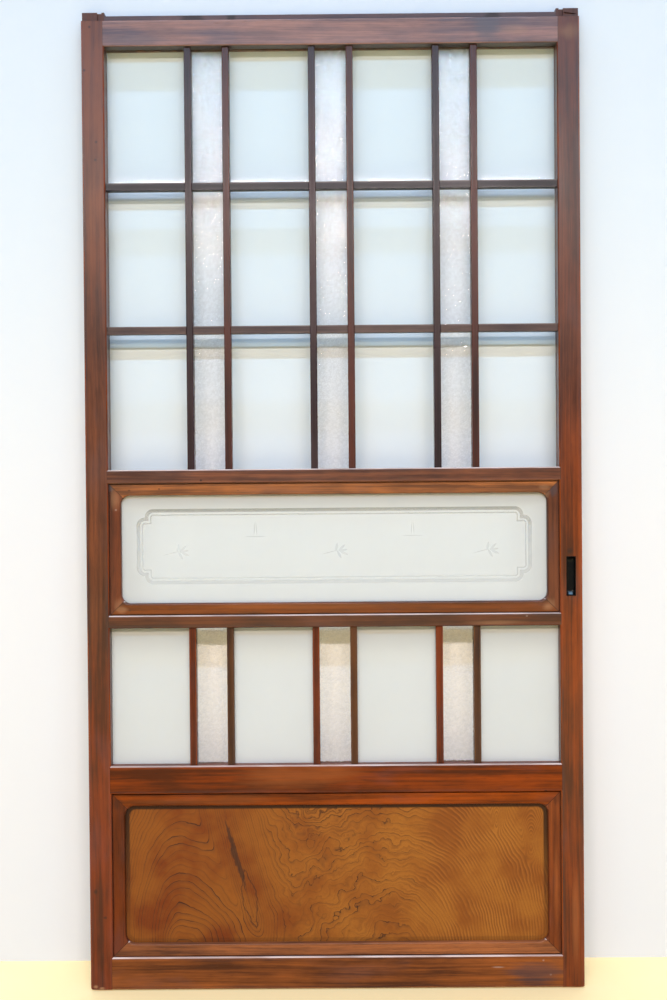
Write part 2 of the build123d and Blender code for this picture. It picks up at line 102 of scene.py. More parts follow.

# Pebbled glass, low and high on the leaf: its tops, its grooves in painted shade, and the painted
# shadow in its grooves under the top rail
PEBBLE_TOPS = ((1.0, 1.0, 1.0), (0.72, 0.79, 0.83))
PEBBLE_GROOVE_SHADES = ((0.78, 0.80, 0.80), (0.52, 0.57, 0.60))
PEBBLE_RAIL_SHADOW = (0.16, 0.18, 0.21)

# Etched border, measured from the pane's middle
BORDER_WIDTH = 714 * MM
BORDER_HEIGHT = 136 * MM
BORDER_RISE = 4.4 * MM
BORDER_STEP = 15 * MM
LOBE_RADIUS = 15.5 * MM
THICK_LINE = 6.4 * MM
LINE_GAP = 3.4 * MM
THIN_LINE = 2.2 * MM

# Marks inside the border, in millimetres to the right of the pane's middle
SPIRE_PLACES = (-142, 142)
SPRIG_PLACES = (-285, 2, 275)

# Spacing of the mesh, and size and depth of the pebbles
PEBBLE_PITCH = 1.3 * MM
PEBBLE_SIZE = 3.6 * MM
PEBBLE_DEPTH = 0.8 * MM

# Figure of the panel, in millimetres on its face: the hearts that the rings run round
ARCH_HEART = (-285, 50)
STREAK_TOP = (-200, 311)
STREAK_FOOT = (-152, 125)
TENT_HEART = (110, 40)
EYE_HEART = (352, 260)
KNOT_HEART = (290, 298)
FINE_PITCH = 7.4
BOLD_PITCH = 13.0

# Colours of the panel: its ground, its fine and bold rings, its long streak and the shade by its frame
PANEL_SHADES = ((0.150, 0.027, 0.004), (0.345, 0.130, 0.0185))
PANEL_FLECK = (0.17, 0.055, 0.016)
FINE_RING = (0.095, 0.030, 0.010)
RING_GLOW = (0.48, 0.17, 0.030)
BOLD_SHADE = (0.105, 0.038, 0.015)
BOLD_LINE = (0.028, 0.014, 0.010)
STREAK_HEART = (0.035, 0.018, 0.012)
STREAK_RING = (0.040, 0.019, 0.012)
PANEL_RIM = (0.012, 0.006, 0.004)

# Average colour of each piece of wood. Those of the top rail and the first upper cross bar are the
# wood's colour with a painted sheen of the lamps, greyer and bluer than the rest
TONES = {
    "left_stile": (0.137, 0.020, 0.001),
    "right_stile": (0.156, 0.027, 0.001),
    "top_rail": (0.190, 0.088, 0.070),
    "upper_mid_rail": (0.138, 0.045, 0.021),
    "middle_rail": (0.087, 0.024, 0.008),
    "lower_mid_rail": (0.160, 0.027, 0.001),
    "bottom_rail": (0.176, 0.051, 0.012),
    "etched_frame_top": (0.290, 0.096, 0.025),
    "etched_frame_bottom": (0.110, 0.024, 0.001),
    "etched_frame_left": (0.110, 0.025, 0.008),
    "etched_frame_right": (0.091, 0.024, 0.009),
    "panel_frame_top": (0.198, 0.036, 0.001),
    "panel_frame_bottom": (0.222, 0.076, 0.028),
    "panel_frame_left": (0.096, 0.019, 0.003),
    "panel_frame_right": (0.145, 0.034, 0.008),
    "upper_cross_bar_1": (0.068, 0.040, 0.034),
    "upper_cross_bar_2": (0.004, 0.003, 0.006),
}
# The stiles are darker above a level: its height in metres, the reach of the change, the colour
STILE_TOPS = {
    "left_stile": (0.60, 0.10, (0.101, 0.028, 0.010)),
    "right_stile": (1.00, 0.15, (0.086, 0.022, 0.009)),
}
UPPER_BAR_TONES = ((0.017, 0.005, 0.007), (0.046, 0.008, 0.003))
LOWER_BAR_TONES = ((0.114, 0.018, 0.002), (0.064, 0.023, 0.008))
REAR_TONE = (0.090, 0.030, 0.015)

# Dark and light grain as shares of the tone, then the colours of marks and painted shade, of the
# painted highlight and wear on upper edges, and of bare wood
DARK_GRAIN = (0.42, 0.44, 0.60)
LIGHT_GRAIN = (1.62, 1.62, 1.42)
DENT_AND_SHADE = (0.012, 0.007, 0.006)
BLUISH = (0.055, 0.045, 0.055)
TAN = (0.36, 0.19, 0.095)
ORANGE = (0.40, 0.12, 0.030)
PALE = (0.42, 0.33, 0.27)
CREST_HIGHLIGHT_AND_WEAR = (0.74, 0.64, 0.60)
BARE_STILE = (0.085, 0.045, 0.040)
BARE_RAIL = (0.052, 0.043, 0.056)

# Gloss of the wood, as a specular level
HIGH_GLOSS = 0.42
SATIN_GLOSS = 0.32
BAR_GLOSS = 0.26
LOW_GLOSS = 0.14

# How far the grain stands out
WOOD_RELIEF = 0.10 * MM

# Marks of age on the front, in millimetres: across, up, half width, half height, colour, strength
MARKS = {
    "left_stile": [
        (-440, 1652, 3, 3, DENT_AND_SHADE, 0.8), (-430, 1729, 3, 3, DENT_AND_SHADE, 0.8), (-420, 1524, 3, 3, DENT_AND_SHADE, 0.7),
        (-422, 1492, 3, 3, DENT_AND_SHADE, 0.7), (-435, 177, 4, 5, DENT_AND_SHADE, 0.7), (-418, 130, 4, 3, DENT_AND_SHADE, 0.7),
        (-436, 5, 5, 4, TAN, 0.8), (-425, 2, 6, 3, TAN, 0.8)],
    "right_stile": [
        (422, 1713, 30, 20, TAN, 0.3), (423, 785, 6, 7, DENT_AND_SHADE, 0.6), (430, 120, 7, 90, ORANGE, 0.4)],
    "top_rail": [
        (279, 1721, 22, 24, BLUISH, 0.6), (330, 1716, 26, 9, TAN, 0.25),
        (-340, 1706, 66, 8, BLUISH, 0.4), (-248, 1746, 22, 40, DENT_AND_SHADE, 0.8),
        (-177, 1746, 8, 40, DENT_AND_SHADE, 0.8), (292, 1746, 14, 40, DENT_AND_SHADE, 0.8)],
    "upper_mid_rail": [(-238, 917, 2.4, 2.4, DENT_AND_SHADE, 0.95)],
    "middle_rail": [(345, 669, 2.4, 1.6, PALE, 0.4), (290, 657, 60, 4, TAN, 0.3)],
    "lower_mid_rail": [(-60, 384, 130, 20, ORANGE, 0.35), (377, 353, 4, 3, DENT_AND_SHADE, 0.9)],
    "bottom_rail": [
        (371, 48, 2.4, 2, PALE, 0.5), (384, 22, 2.6, 2, PALE, 0.45), (290, 36, 12, 1.5, PALE, 0.5),
        (360, 26, 60, 22, BLUISH, 0.5)],
    "etched_frame_top": [
        (-368, 900, 2.4, 2, DENT_AND_SHADE, 0.6), (-314, 902, 2, 2, DENT_AND_SHADE, 0.6), (378, 900, 10, 7, TAN, 0.3)],
    "etched_frame_left": [
        (-401, 906, 8, 7, BLUISH, 0.85), (-392, 884, 9, 22, TAN, 0.4),
        (-392, 865, 2.4, 2.2, PALE, 0.5), (-388, 690, 10, 16, TAN, 0.3)],
    "etched_frame_right": [
        (381, 890, 8, 9, TAN, 0.3), (394, 896, 8, 12, BLUISH, 0.6), (388, 688, 10, 14, TAN, 0.35)],
    "etched_frame_bottom": [
        (-384, 684, 12, 8, TAN, 0.4), (384, 686, 14, 9, TAN, 0.5), (-40, 690, 200, 6, ORANGE, 0.25)],
    "panel_frame_top": [(-250, 340, 150, 8, ORANGE, 0.2), (-394, 340, 10, 10, DENT_AND_SHADE, 0.35)],
    "panel_frame_right": [(397, 340, 8, 12, DENT_AND_SHADE, 0.4), (396, 180, 5, 70, ORANGE, 0.3)],
    "panel_frame_left": [(-397, 335, 10, 16, DENT_AND_SHADE, 0.45)],
}

# Heads of the brads that pin the mouldings, in millimetres on the front
BRADS = (
    (-367.9, 900.1), (-313.9, 902.0), (-171.9, 898.5), (270.6, 900.6), (-368.5, 683.0),
    (301.0, 684.5))
BRAD_RADIUS = 0.9 * MM
BRAD_LENGTH = 1.4 * MM
BRAD_PROUD = 0.2 * MM

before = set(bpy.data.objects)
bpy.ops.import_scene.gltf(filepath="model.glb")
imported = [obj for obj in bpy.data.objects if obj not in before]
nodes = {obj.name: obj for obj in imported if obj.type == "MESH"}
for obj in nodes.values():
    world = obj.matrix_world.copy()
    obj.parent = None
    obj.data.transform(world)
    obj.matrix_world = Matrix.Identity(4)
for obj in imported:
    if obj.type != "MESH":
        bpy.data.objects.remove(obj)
cad_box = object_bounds()

# Half the distance between the stiles
INNER_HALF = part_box("right_stile")[0].x


class Wire:
    """One value, colour or vector in a finish. Arithmetic on it adds Math nodes."""

    def __init__(self, finish, socket):
        self.finish = finish
        self.socket = socket

    def maths(self, operation, *values):
        return self.finish.node("ShaderNodeMath", dict(enumerate(values)), operation=operation)

    def __add__(self, other):
        return self.maths("ADD", self, other)

    def __radd__(self, other):
        return self.maths("ADD", other, self)

    def __sub__(self, other):
        return self.maths("SUBTRACT", self, other)

    def __rsub__(self, other):
        return self.maths("SUBTRACT", other, self)

    def __mul__(self, other):
        return self.maths("MULTIPLY", self, other)

    def __rmul__(self, other):
        return self.maths("MULTIPLY", other, self)

    def __truediv__(self, other):
        return self.maths("DIVIDE", self, other)

    def __rtruediv__(self, other):
        return self.maths("DIVIDE", other, self)

    def __pow__(self, other):
        return self.maths("POWER", self, other)

    def __neg__(self):
        return self.maths("MULTIPLY", self, -1.0)

    def __abs__(self):
        return self.maths("ABSOLUTE", self)

    def least(self, other):
        return self.maths("MINIMUM", self, other)

    def most(self, other):
        return self.maths("MAXIMUM", self, other)

    def soft_least(self, other, reach):
        return self.maths("SMOOTH_MIN", self, other, reach)

    def fraction(self):
        return self.maths("FRACT", self)

    def whole(self):
        return self.maths("FLOOR", self)

    def rise(self, low, high, first=0.0, last=1.0):
        """Turns smoothly from first to last as the value goes from low to high."""
        return self.finish.node(
            "ShaderNodeMapRange",
            {"Value": self, "From Min": low, "From Max": high, "To Min": first, "To Max": last},
            interpolation_type="SMOOTHSTEP")

    def fall(self, low, high):
        return self.rise(low, high, 1.0, 0.0)


class Finish:
    """A material or world while it is made. node() adds any node; the rest are its common uses."""

    def __init__(self, name, kind="materials"):
        self.made = getattr(bpy.data, kind).new(name)
        self.made.use_nodes = True
        self.tree = self.made.node_tree
        self.tree.nodes.clear()

    def node(self, kind, inputs=(), output=0, **settings):
        made = self.tree.nodes.new(kind)
        for name, value in settings.items():
            setattr(made, name, value)
        for name, value in dict(inputs).items():
            if isinstance(value, Wire):
                self.tree.links.new(value.socket, made.inputs[name])
            else:
                made.inputs[name].default_value = value
        return Wire(self, made.outputs[output])

    def parts(self, vector):
        return [self.node("ShaderNodeSeparateXYZ", {"Vector": vector}, output=axis) for axis in "XYZ"]

    def place(self):
        """Object coordinates as three values, in metres."""
        return self.parts(self.node("ShaderNodeTexCoord", output="Object"))

    def vector(self, x, y, z):
        return self.node("ShaderNodeCombineXYZ", {"X": x, "Y": y, "Z": z})

    def noise(self, vector, scale=1.0, detail=2.0, roughness=0.5):
        return self.node("ShaderNodeTexNoise",
                         {"Vector": vector, "Scale": scale, "Detail": detail, "Roughness": roughness})

    def random(self, number):
        """A fixed random value for each whole number."""
        return self.node("ShaderNodeTexWhiteNoise", {"W": number}, noise_dimensions="1D")

    def length(self, x, y):
        return (x * x + y * y) ** 0.5

    def mix(self, first, second, share):
        """A colour between two colours. share is 0 for the first."""
        first, second = [(*c, 1.0) if isinstance(c, tuple) else c for c in (first, second)]
        return self.node("ShaderNodeMix", {0: share, 6: first, 7: second}, output=2, data_type="RGBA")

    def bump(self, height, distance, strength=1.0):
        inputs = {"Height": height, "Distance": distance, "Strength": strength}
        return self.node("ShaderNodeBump", inputs, output="Normal")

    def principled(self, **inputs):
        """A Principled shader. base_color=... is its Base Color socket, and so on."""
        names = {key: key.replace("_", " ").title().replace("Ior", "IOR") for key in inputs}
        values = {names[key]: ((*value, 1.0) if isinstance(value, tuple) and len(value) == 3 else value)
                  for key, value in inputs.items()}
        return self.node("ShaderNodeBsdfPrincipled", values)

    def mix_shaders(self, first, second, share):
        return self.node("ShaderNodeMixShader", {0: share, 1: first, 2: second})

    def transparent(self, colour):
        return self.node("ShaderNodeBsdfTransparent", {"Color": (*colour, 1.0)})

    def path(self, ray):
        return self.node("ShaderNodeLightPath", output=f"Is {ray} Ray")

    def backfacing(self):
        return self.node("ShaderNodeNewGeometry", output="Backfacing")

    def done(self, shader, kind="Material"):
        output = self.tree.nodes.new(f"ShaderNodeOutput{kind}")
        self.tree.links.new(shader.socket, output.inputs["Surface"])
        return self.made


def dress(name, material):
    """Gives a CAD node or a new piece its finish."""
    piece = nodes[name] if isinstance(name, str) else name
    piece.data.materials.clear()
    piece.data.materials.append(material)


def scaled(colour, red, green, blue):
    return colour[0] * red, colour[1] * green, colour[2] * blue


def box_of(*names):
    """Lowest and highest corners of some nodes together."""
    boxes = [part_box(name) for name in names]
    low = Vector([min(box[0][axis] for box in boxes) for axis in range(3)])
    high = Vector([max(box[1][axis] for box in boxes) for axis in range(3)])
    return low, high


def from_edges(place, low, high):
    """Distance from the nearer of two levels."""
    return abs(abs(place - (low + high) / 2) - (high - low) / 2)


def union(masks):
    """One mask that is as strong as the strongest of several."""
    whole, *others = masks
    for mask in others:
        whole = whole.most(mask)
    return whole


def stained_wood(name, grain, tone, seed, corners, joints=None, crest_highlight_and_wear=0.0, gloss=SATIN_GLOSS):
    """Close-grained wood under a red-brown stain and satin lacquer, rubbed at its edges.

    grain is the axis along the piece, corners are those of its face, joints gives the dark lines in its
    joints and, round a frame, painted shade, and crest_highlight_and_wear is how strong the painted
    highlight and wear on its upper front edge are.
    """
    f = Finish(name)
    x, y, z = f.place()
    low, high = corners
    length, side = (z, x) if grain == "Z" else (x, z)
    axis = 0 if grain == "Z" else 2
    along, across, deep = length + seed * 0.731, side + seed * 0.377, y + seed * 0.193
    drift = (f.noise(f.vector(along * 1.5, across * 8.0, deep * 8.0), detail=1.0) - 0.5) * 0.02
    across = across + drift
    broad = f.noise(f.vector(along * 1.1, across * 45.0, deep * 45.0))
    streak = f.noise(f.vector(along * 2.6, across * 170.0, deep * 170.0), detail=3.0, roughness=0.6)
    fibre = f.noise(f.vector(along * 26.0, across * 900.0, deep * 900.0))
    cloud = f.noise(f.vector(along * 7.0, across * 20.0, deep * 20.0), detail=3.0)
    pores = f.noise(f.vector(along * 60.0, across * 1500.0, deep * 1500.0), detail=1.0).rise(0.64, 0.72)
    patch = f.noise(f.vector(along * 4.0, across * 14.0, deep * 14.0), detail=4.0, roughness=0.6)
    share = (0.5 + (broad - 0.5) * 1.5 + (streak - 0.5) * 1.8 + (cloud - 0.5) * 1.0
             + (patch - 0.5) * 2.4 + (fibre - 0.5) * 0.8)
    dark, light = [scaled(tone, *part) for part in (DARK_GRAIN, LIGHT_GRAIN)]
    if name in STILE_TOPS:
        level, reach, top_tone = STILE_TOPS[name]
        higher = z.rise(level - reach, level + reach)
        dark = f.mix(dark, scaled(top_tone, *DARK_GRAIN), higher)
        light = f.mix(light, scaled(top_tone, *LIGHT_GRAIN), higher)
    colour = f.mix(dark, light, share)
    colour = f.mix(colour, DENT_AND_SHADE, pores * 0.4)
    colour = f.mix(colour, BLUISH, cloud.rise(0.54, 0.74) * 0.25)

    from_side = from_edges(side, low[axis], high[axis])
    from_face = from_edges(y, low.y, high.y)
    # A bluish band darkens the face near its side edges
    edge_band = (from_side + (cloud - 0.5) * 14 * MM).fall(1.0 * MM, 7.0 * MM)
    colour = f.mix(colour, BLUISH, edge_band * 0.2)
    ragged = f.noise(f.vector(along * 45.0, across * 200.0, deep * 200.0), detail=3.0) - 0.5
    rubbed = (f.length(from_side, from_face) + ragged * 1.6 * MM).fall(1.3 * MM, 2.4 * MM)
    patchy = f.noise(f.vector(along * 9.0, across * 30.0, deep * 30.0)).rise(0.36, 0.62)
    colour = f.mix(colour, scaled(tone, 2.0, 2.3, 2.4), rubbed * (0.2 + patchy * 0.55))

    roughness = 0.33 + (cloud - 0.5) * 0.2 + (streak - 0.5) * 0.12 - rubbed * 0.08
    if crest_highlight_and_wear > 0.0:
        # Painted highlight, with some wear, along the upper front edge
        upper = (high.z - z).fall(1.5 * MM, 2.3 * MM) * from_face.fall(3.6 * MM, 4.4 * MM)
        colour = f.mix(colour, CREST_HIGHLIGHT_AND_WEAR, upper * (crest_highlight_and_wear * (0.55 + patchy * 0.45)))
    if name in ("top_rail", "left_stile", "right_stile"):
        bare = z.rise(HEAD_LEVEL + 0.3 * MM, HEAD_LEVEL + 1.2 * MM)
        raw = BARE_RAIL if name == "top_rail" else BARE_STILE
        colour = f.mix(colour, raw, bare * (0.6 + (streak - 0.5) * 1.5))
        roughness = roughness + bare * 0.2
    if grain == "X":
        # Painted shade on the underside of the piece
        under = z.fall(low.z + 0.2 * MM, low.z + 0.8 * MM) * y.rise(low.y + 0.5 * MM, low.y + 1.5 * MM)
        colour = f.mix(colour, DENT_AND_SHADE, under * 0.92)
    front = y.fall(low.y + 5 * MM, low.y + 9.5 * MM)
    for at_x, at_z, wide, tall, shade, strength in MARKS.get(name, ()):
        far = f.length((x - at_x * MM) / (wide * MM), (z - at_z * MM) / (tall * MM))
        wavy = 1.3 if wide + tall > 12 else 0.4
        held = bare if at_z * MM > HEAD_LEVEL else front
        cover = (far + (cloud - 0.5) * wavy * 1.2 + (streak - 0.5) * wavy).fall(0.3, 1.2) * held
        colour = f.mix(colour, shade, cover * strength)
    if joints is not None:
        gap = joints(f, x, y, z)
        colour = f.mix(colour, DENT_AND_SHADE, gap)
        roughness = roughness + gap * 0.3
    relief = streak * 0.5 + fibre * 0.5 - pores * 0.8
    return f.done(f.principled(base_color=colour, roughness=roughness, specular_ior_level=gloss,
                               normal=f.bump(relief, WOOD_RELIEF, 0.5)))


def shoulder_gap(f, x, y, z):
    """Dirt where a rail meets the stiles."""
    return abs(x).rise(INNER_HALF + 1.1 * MM, INNER_HALF + 1.9 * MM) * 0.85


def mitre_gap(low, high):
    """Dirt in the mitres of a frame, and painted shade in its outer corners and in the quirk round it.
    """
    def joint_dirt_and_shade(f, x, y, z):
        from_x = from_edges(x, low.x, high.x)
        from_z = from_edges(z, low.z, high.z)
        mitre = abs(from_x - from_z).fall(0.25 * MM, 0.9 * MM)
        # Painted shade in the outer corners and in the quirk
        corner = from_x.most(from_z).fall(6 * MM, 15 * MM)
        quirk = from_x.least(from_z).fall(1.5 * MM, 4.0 * MM)
        return (mitre * 0.9).most(corner * 0.25).most(quirk * 0.5)
    return joint_dirt_and_shade


def crossing_gap(f, x, y, z):
    """Dirt where the cross bars are let into the upright bars."""
    gaps = []
    for number in range(1, 7):
        low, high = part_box(f"upper_bar_{number}")
        gaps.append(from_edges(x, low.x, high.x).fall(0.3 * MM, 1.1 * MM))
    return union(gaps) * 0.7


def rounded_box(f, x, z, half_wide, half_high, radius):
    """Signed distance from the outline of a rectangle with round corners, negative inside."""
    past_x = abs(x) - (half_wide - radius)
    past_z = abs(z) - (half_high - radius)
    outside = f.length(past_x.most(0.0), past_z.most(0.0))
    return outside + past_x.most(past_z).least(0.0) - radius


def line(distance, start, width, soft=0.35 * MM):
    """1 on a line that runs from start to start + width inside an outline."""
    inward = -distance
    end = start + width
    return inward.rise(start - soft, start + soft) * inward.fall(end - soft, end + soft)


def leaf(f, x, z, at_x, at_z, turn, long, wide, soft=0.25 * MM):
    """1 inside a pointed leaf, made where two circles overlap."""
    c, s = math.cos(turn), math.sin(turn)
    u = (x - at_x) * c + (z - at_z) * s
    v = (z - at_z) * c - (x - at_x) * s
    radius = (long * long / 4 + wide * wide / 4) / wide
    return (f.length(u, abs(v) + (radius - wide / 2)) - radius).fall(-soft, soft)


def sprig(f, x, z, at_x, at_z, size):
    """Five small leaves on a short stem."""
    leaves = []
    for number in range(5):
        turn = math.radians(-60 + 35 * number)
        reach = size * (0.35 + 0.08 * (number % 2))
        leaves.append(leaf(f, x, z, at_x + reach * math.cos(turn), at_z + 0.5 * reach * math.sin(turn),
                           turn, size * 0.42, size * 0.11))
    stem = leaf(f, x, z, at_x - size * 0.2, at_z - size * 0.04, 0.25, size * 0.9, size * 0.035)
    return union(leaves + [stem])


def spire(f, x, z, at_x, at_z, size):
    """Two thin upright strokes over a short ground line."""
    strokes = [leaf(f, x, z, at_x, at_z - size * 0.32, 0.0, size * 1.15, size * 0.05)]
    for side in (-1, 1):
        strokes.append(leaf(f, x, z, at_x + side * size * 0.05, at_z + size * 0.1,
                            math.radians(90 + side * 4), size * 0.75, size * 0.05))
    return union(strokes)


def pass_lamps(f, shader, share):
    """Lets light go straight through one face of the glass on its way to and from the wall."""
    clear = f.transparent((share, share, share))
    return f.mix_shaders(shader, clear, f.path("Shadow").most(f.path("Diffuse")))


def clear_sheet(f, shadow_band=None):
    """Clear sheet glass: what is behind shows through, and a Fresnel share of the room is mirrored."""
    through = f.transparent(CLEAR_SHEET)
    # A darker sheet mixed in here is painted shadow
    if shadow_band is not None:
        through = f.mix_shaders(through, f.transparent(SHADOW_SHEET), shadow_band)
    mirror = f.node("ShaderNodeBsdfGlossy", {"Color": (*WHITE, 1.0), "Roughness": 0.03})
    entering = f.node("ShaderNodeFresnel", {"IOR": SHEET_IOR})
    leaving = f.node("ShaderNodeFresnel", {"IOR": 1.0 / SHEET_IOR})
    inside = f.backfacing()
    return f.mix_shaders(through, mirror, entering * (1.0 - inside) + leaving * inside)


def clear_glass():
    """Clear panes, with a band of painted shadow under each cross bar."""
    f = Finish("clear_glass")
    x, y, z = f.place()
    shadow_bands = []
    for name in ("upper_cross_bar_1", "upper_cross_bar_2"):
        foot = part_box(name)[0].z
        shadow_bands.append(z.rise(foot - 17 * MM, foot - 12 * MM) * z.fall(foot, foot + 2 * MM))
    return f.done(pass_lamps(f, clear_sheet(f, union(shadow_bands)), 1.0))


def frosted_body(f, colour):
    """Ground glass: scatters what comes from both sides."""
    x, y, z = f.place()
    grit = f.noise(f.vector(x, y, z), scale=1800.0)
    return f.principled(base_color=colour, roughness=0.5, transmission_weight=0.45, ior=1.45,
                        normal=f.bump(grit, 0.05 * MM, 0.3))


def frosted_glass():
    f = Finish("frosted_glass")
    x, y, z = f.place()
    cloud = f.noise(f.vector(x, y, z), scale=9.0, detail=3.0)
    colour = f.mix(*FROSTED_SHADES, cloud)
    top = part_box("lower_frosted_panes")[1].z
    # Painted shade from the rail above darkens the top of the panes
    colour = f.mix(colour, FROSTED_TOP_SHADE, z.rise(top - 70 * MM, top) * 0.6)
    return f.done(pass_lamps(f, frosted_body(f, colour), GROUND_PASS))


def etched_glass():
    """Frosted sheet with a clear double border line and faint clear sprigs."""
    f = Finish("etched_glass")
    low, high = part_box("etched_glass")
    x, y, z = f.place()
    x = x - (low.x + high.x) / 2
    z = z - ((low.z + high.z) / 2 + BORDER_RISE)
    wide = rounded_box(f, x, z, BORDER_WIDTH / 2, BORDER_HEIGHT / 2 - BORDER_STEP, LOBE_RADIUS)
    tall = rounded_box(f, x, z, BORDER_WIDTH / 2 - BORDER_STEP, BORDER_HEIGHT / 2, LOBE_RADIUS)
    outline = wide.least(tall)
    border = line(outline, 0.0, THICK_LINE).most(line(outline, THICK_LINE + LINE_GAP, THIN_LINE))
    marks = [spire(f, x, z, at_x * MM, 28 * MM, 34 * MM) for at_x in SPIRE_PLACES]
    marks += [sprig(f, x, z, at_x * MM, -10 * MM, 40 * MM) for at_x in SPRIG_PLACES]
    strength = z.rise(-BORDER_HEIGHT / 2, BORDER_HEIGHT / 2, 0.4, 0.75)
    clear = (border * strength).most(union(marks) * 0.26)
    cloud = f.noise(f.vector(x, y, z), scale=7.0)
    colour = f.mix(*ETCHED_SHADES, cloud)
    # Painted shade from the frame darkens the top of the pane; its ends are darker too
    top_shade = z.rise(BORDER_HEIGHT / 2 - 14 * MM, BORDER_HEIGHT / 2 + 26 * MM)
    darker_ends = abs(x).rise(BORDER_WIDTH / 2 - 60 * MM, BORDER_WIDTH / 2 + 30 * MM)
    colour = f.mix(colour, ETCHED_EDGE_SHADE, (top_shade * 0.6).most(darker_ends * 0.25))
    sheet = f.mix_shaders(frosted_body(f, colour), clear_sheet(f), clear)
    return f.done(pass_lamps(f, sheet, GROUND_PASS))


def textured_glass():
    """Pebbled glass, whose relief is in the mesh. Its grooves are darker, a painted shade for the
    mottling that refraction gives.
    """
    f = Finish("textured_glass")
    x, y, z = f.place()
    groove = f.node("ShaderNodeAttribute", attribute_name="groove", output="Fac")
    cloud = f.noise(f.vector(x, y, z), scale=25.0, detail=3.0)
    higher = z.rise(0.95, 1.6)
    light = f.mix(*PEBBLE_TOPS, higher)
    dark = f.mix(*PEBBLE_GROOVE_SHADES, higher)
    # Painted shadow of the top rail in the grooves near the top
    dark = f.mix(dark, PEBBLE_RAIL_SHADOW, z.rise(1.650, 1.690))
    # The grooves are darkened as painted shade
    colour = f.mix(light, dark, groove.rise(0.35, 0.95) * (0.4 + cloud * 0.7))
    body = f.principled(base_color=colour, roughness=0.05, transmission_weight=1.0, ior=1.48,
                        specular_ior_level=0.3)
    return f.done(pass_lamps(f, body, 1.0))


def pebble(place):
    """0 on the pebbles' tops and near 1 in the grooves between them."""
    point = Vector((place.x, 0.0, place.z)) / PEBBLE_SIZE
    distances = noise.voronoi(point)[0]
    groove = 1.0 - min(1.0, (distances[1] - distances[0]) * 1.6)
    return min(1.0, max(0.0, 0.75 * groove + 0.25 * (noise.noise(point * 0.6) + 0.5)))


def new_piece(name, bm, material, smooth=True):
    """Makes an object of a finished shape and lets it ride on the leaf."""
    mesh = bpy.data.meshes.new(name)
    bm.to_mesh(mesh)
    bm.free()
    if smooth:
        mesh.shade_smooth()
    piece = bpy.data.objects.new(name, mesh)
    bpy.context.scene.collection.objects.link(piece)
    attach(piece, "root")
    dress(piece, material)
    return piece


def pane_spans(node):
    """Left and right edges of each pane in a node."""
    edges = sorted({round(vertex.co.x, 5) for vertex in nodes[node].data.vertices})
    return list(zip(edges[0::2], edges[1::2]))


def pebbled_panes(name, node, material):
    """Narrow panes with pebbled relief on the front, in the place of the flat ones."""
    low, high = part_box(node)
    bm = bmesh.new()
    groove = bm.verts.layers.float.new("groove")
    for start, end in pane_spans(node):
        wide, tall = end - start, high.z - low.z
        columns, rows = round(wide / PEBBLE_PITCH), round(tall / PEBBLE_PITCH)
        front = bmesh.ops.create_grid(bm, x_segments=columns, y_segments=rows, size=0.5)["verts"]
        bmesh.ops.scale(bm, verts=front, vec=(wide, tall, 1.0))
        bmesh.ops.rotate(bm, verts=front, cent=(0, 0, 0), matrix=Matrix.Rotation(math.pi / 2, 3, "X"))
        bmesh.ops.translate(bm, verts=front, vec=((start + end) / 2, low.y, (low.z + high.z) / 2))
        rim = [edge for edge in {e for v in front for e in v.link_edges} if edge.is_boundary]
        back = bmesh.ops.extrude_edge_only(bm, edges=rim)["geom"]
        back_verts = [item for item in back if isinstance(item, bmesh.types.BMVert)]
        back_rim = [item for item in back if isinstance(item, bmesh.types.BMEdge) and item.is_boundary]
        bmesh.ops.translate(bm, verts=back_verts, vec=(0, high.y - low.y, 0))
        bmesh.ops.edgeloop_fill(bm, edges=back_rim)
        for edge in rim + back_rim:
            edge.smooth = False
        for vertex in front:
            if start + MM < vertex.co.x < end - MM and low.z + MM < vertex.co.z < high.z - MM:
                depth = pebble(vertex.co)
                vertex[groove] = depth
                vertex.co.y += PEBBLE_DEPTH * depth
    bmesh.ops.recalc_face_normals(bm, faces=bm.faces)
    piece = new_piece(name, bm, material)
    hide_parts(node)


def oval(f, x, z, heart, left, right):
    """Distance from a heart, drawn in by left on its left side and by right on its right."""
    aside = x - heart[0]
    return f.length(aside.most(0.0) * right + aside.least(0.0) * left, z - heart[1])


def figure_field(f, x, z):
    """Rings of the panel: arches, a long streak, a wide tent, an eye and a knot that run together."""
    lean = (STREAK_FOOT[0] - STREAK_TOP[0]) / (STREAK_TOP[1] - STREAK_FOOT[1])
    aside = x - STREAK_TOP[0] - (STREAK_TOP[1] - z) * lean
    streak = f.length(aside * 3.2, (STREAK_FOOT[1] - z).most(0.0) * 1.5) + 100.0
    field = oval(f, x, z, ARCH_HEART, 2.9, 1.3).soft_least(streak, 50.0)
    field = field.soft_least(oval(f, x, z, TENT_HEART, 0.85, 1.4) + 90.0, 40.0)
    field = field.soft_least(oval(f, x, z, EYE_HEART, 3.2, 3.2) + 430.0, 25.0)
    field = field.soft_least(oval(f, x, z, KNOT_HEART, 3.5, 3.5) + 415.0, 20.0)
    swell = f.noise(f.vector(x, z, 0.0), scale=0.011, detail=2.0) - 0.5
    ripple = f.noise(f.vector(x, z, 7.0), scale=0.04, detail=2.0) - 0.5
    jag = f.noise(f.vector(x, z, 3.0), scale=0.032, detail=3.0, roughness=0.45) - 0.5
    middle = x.rise(-150.0, -70.0) * x.fall(70.0, 190.0)
    calm = 1.0 - x.rise(60.0, 220.0) * 0.4
    return field + swell * 55.0 * calm + ripple * 9.0 * calm + jag * (middle * 62.0 + 3.0)


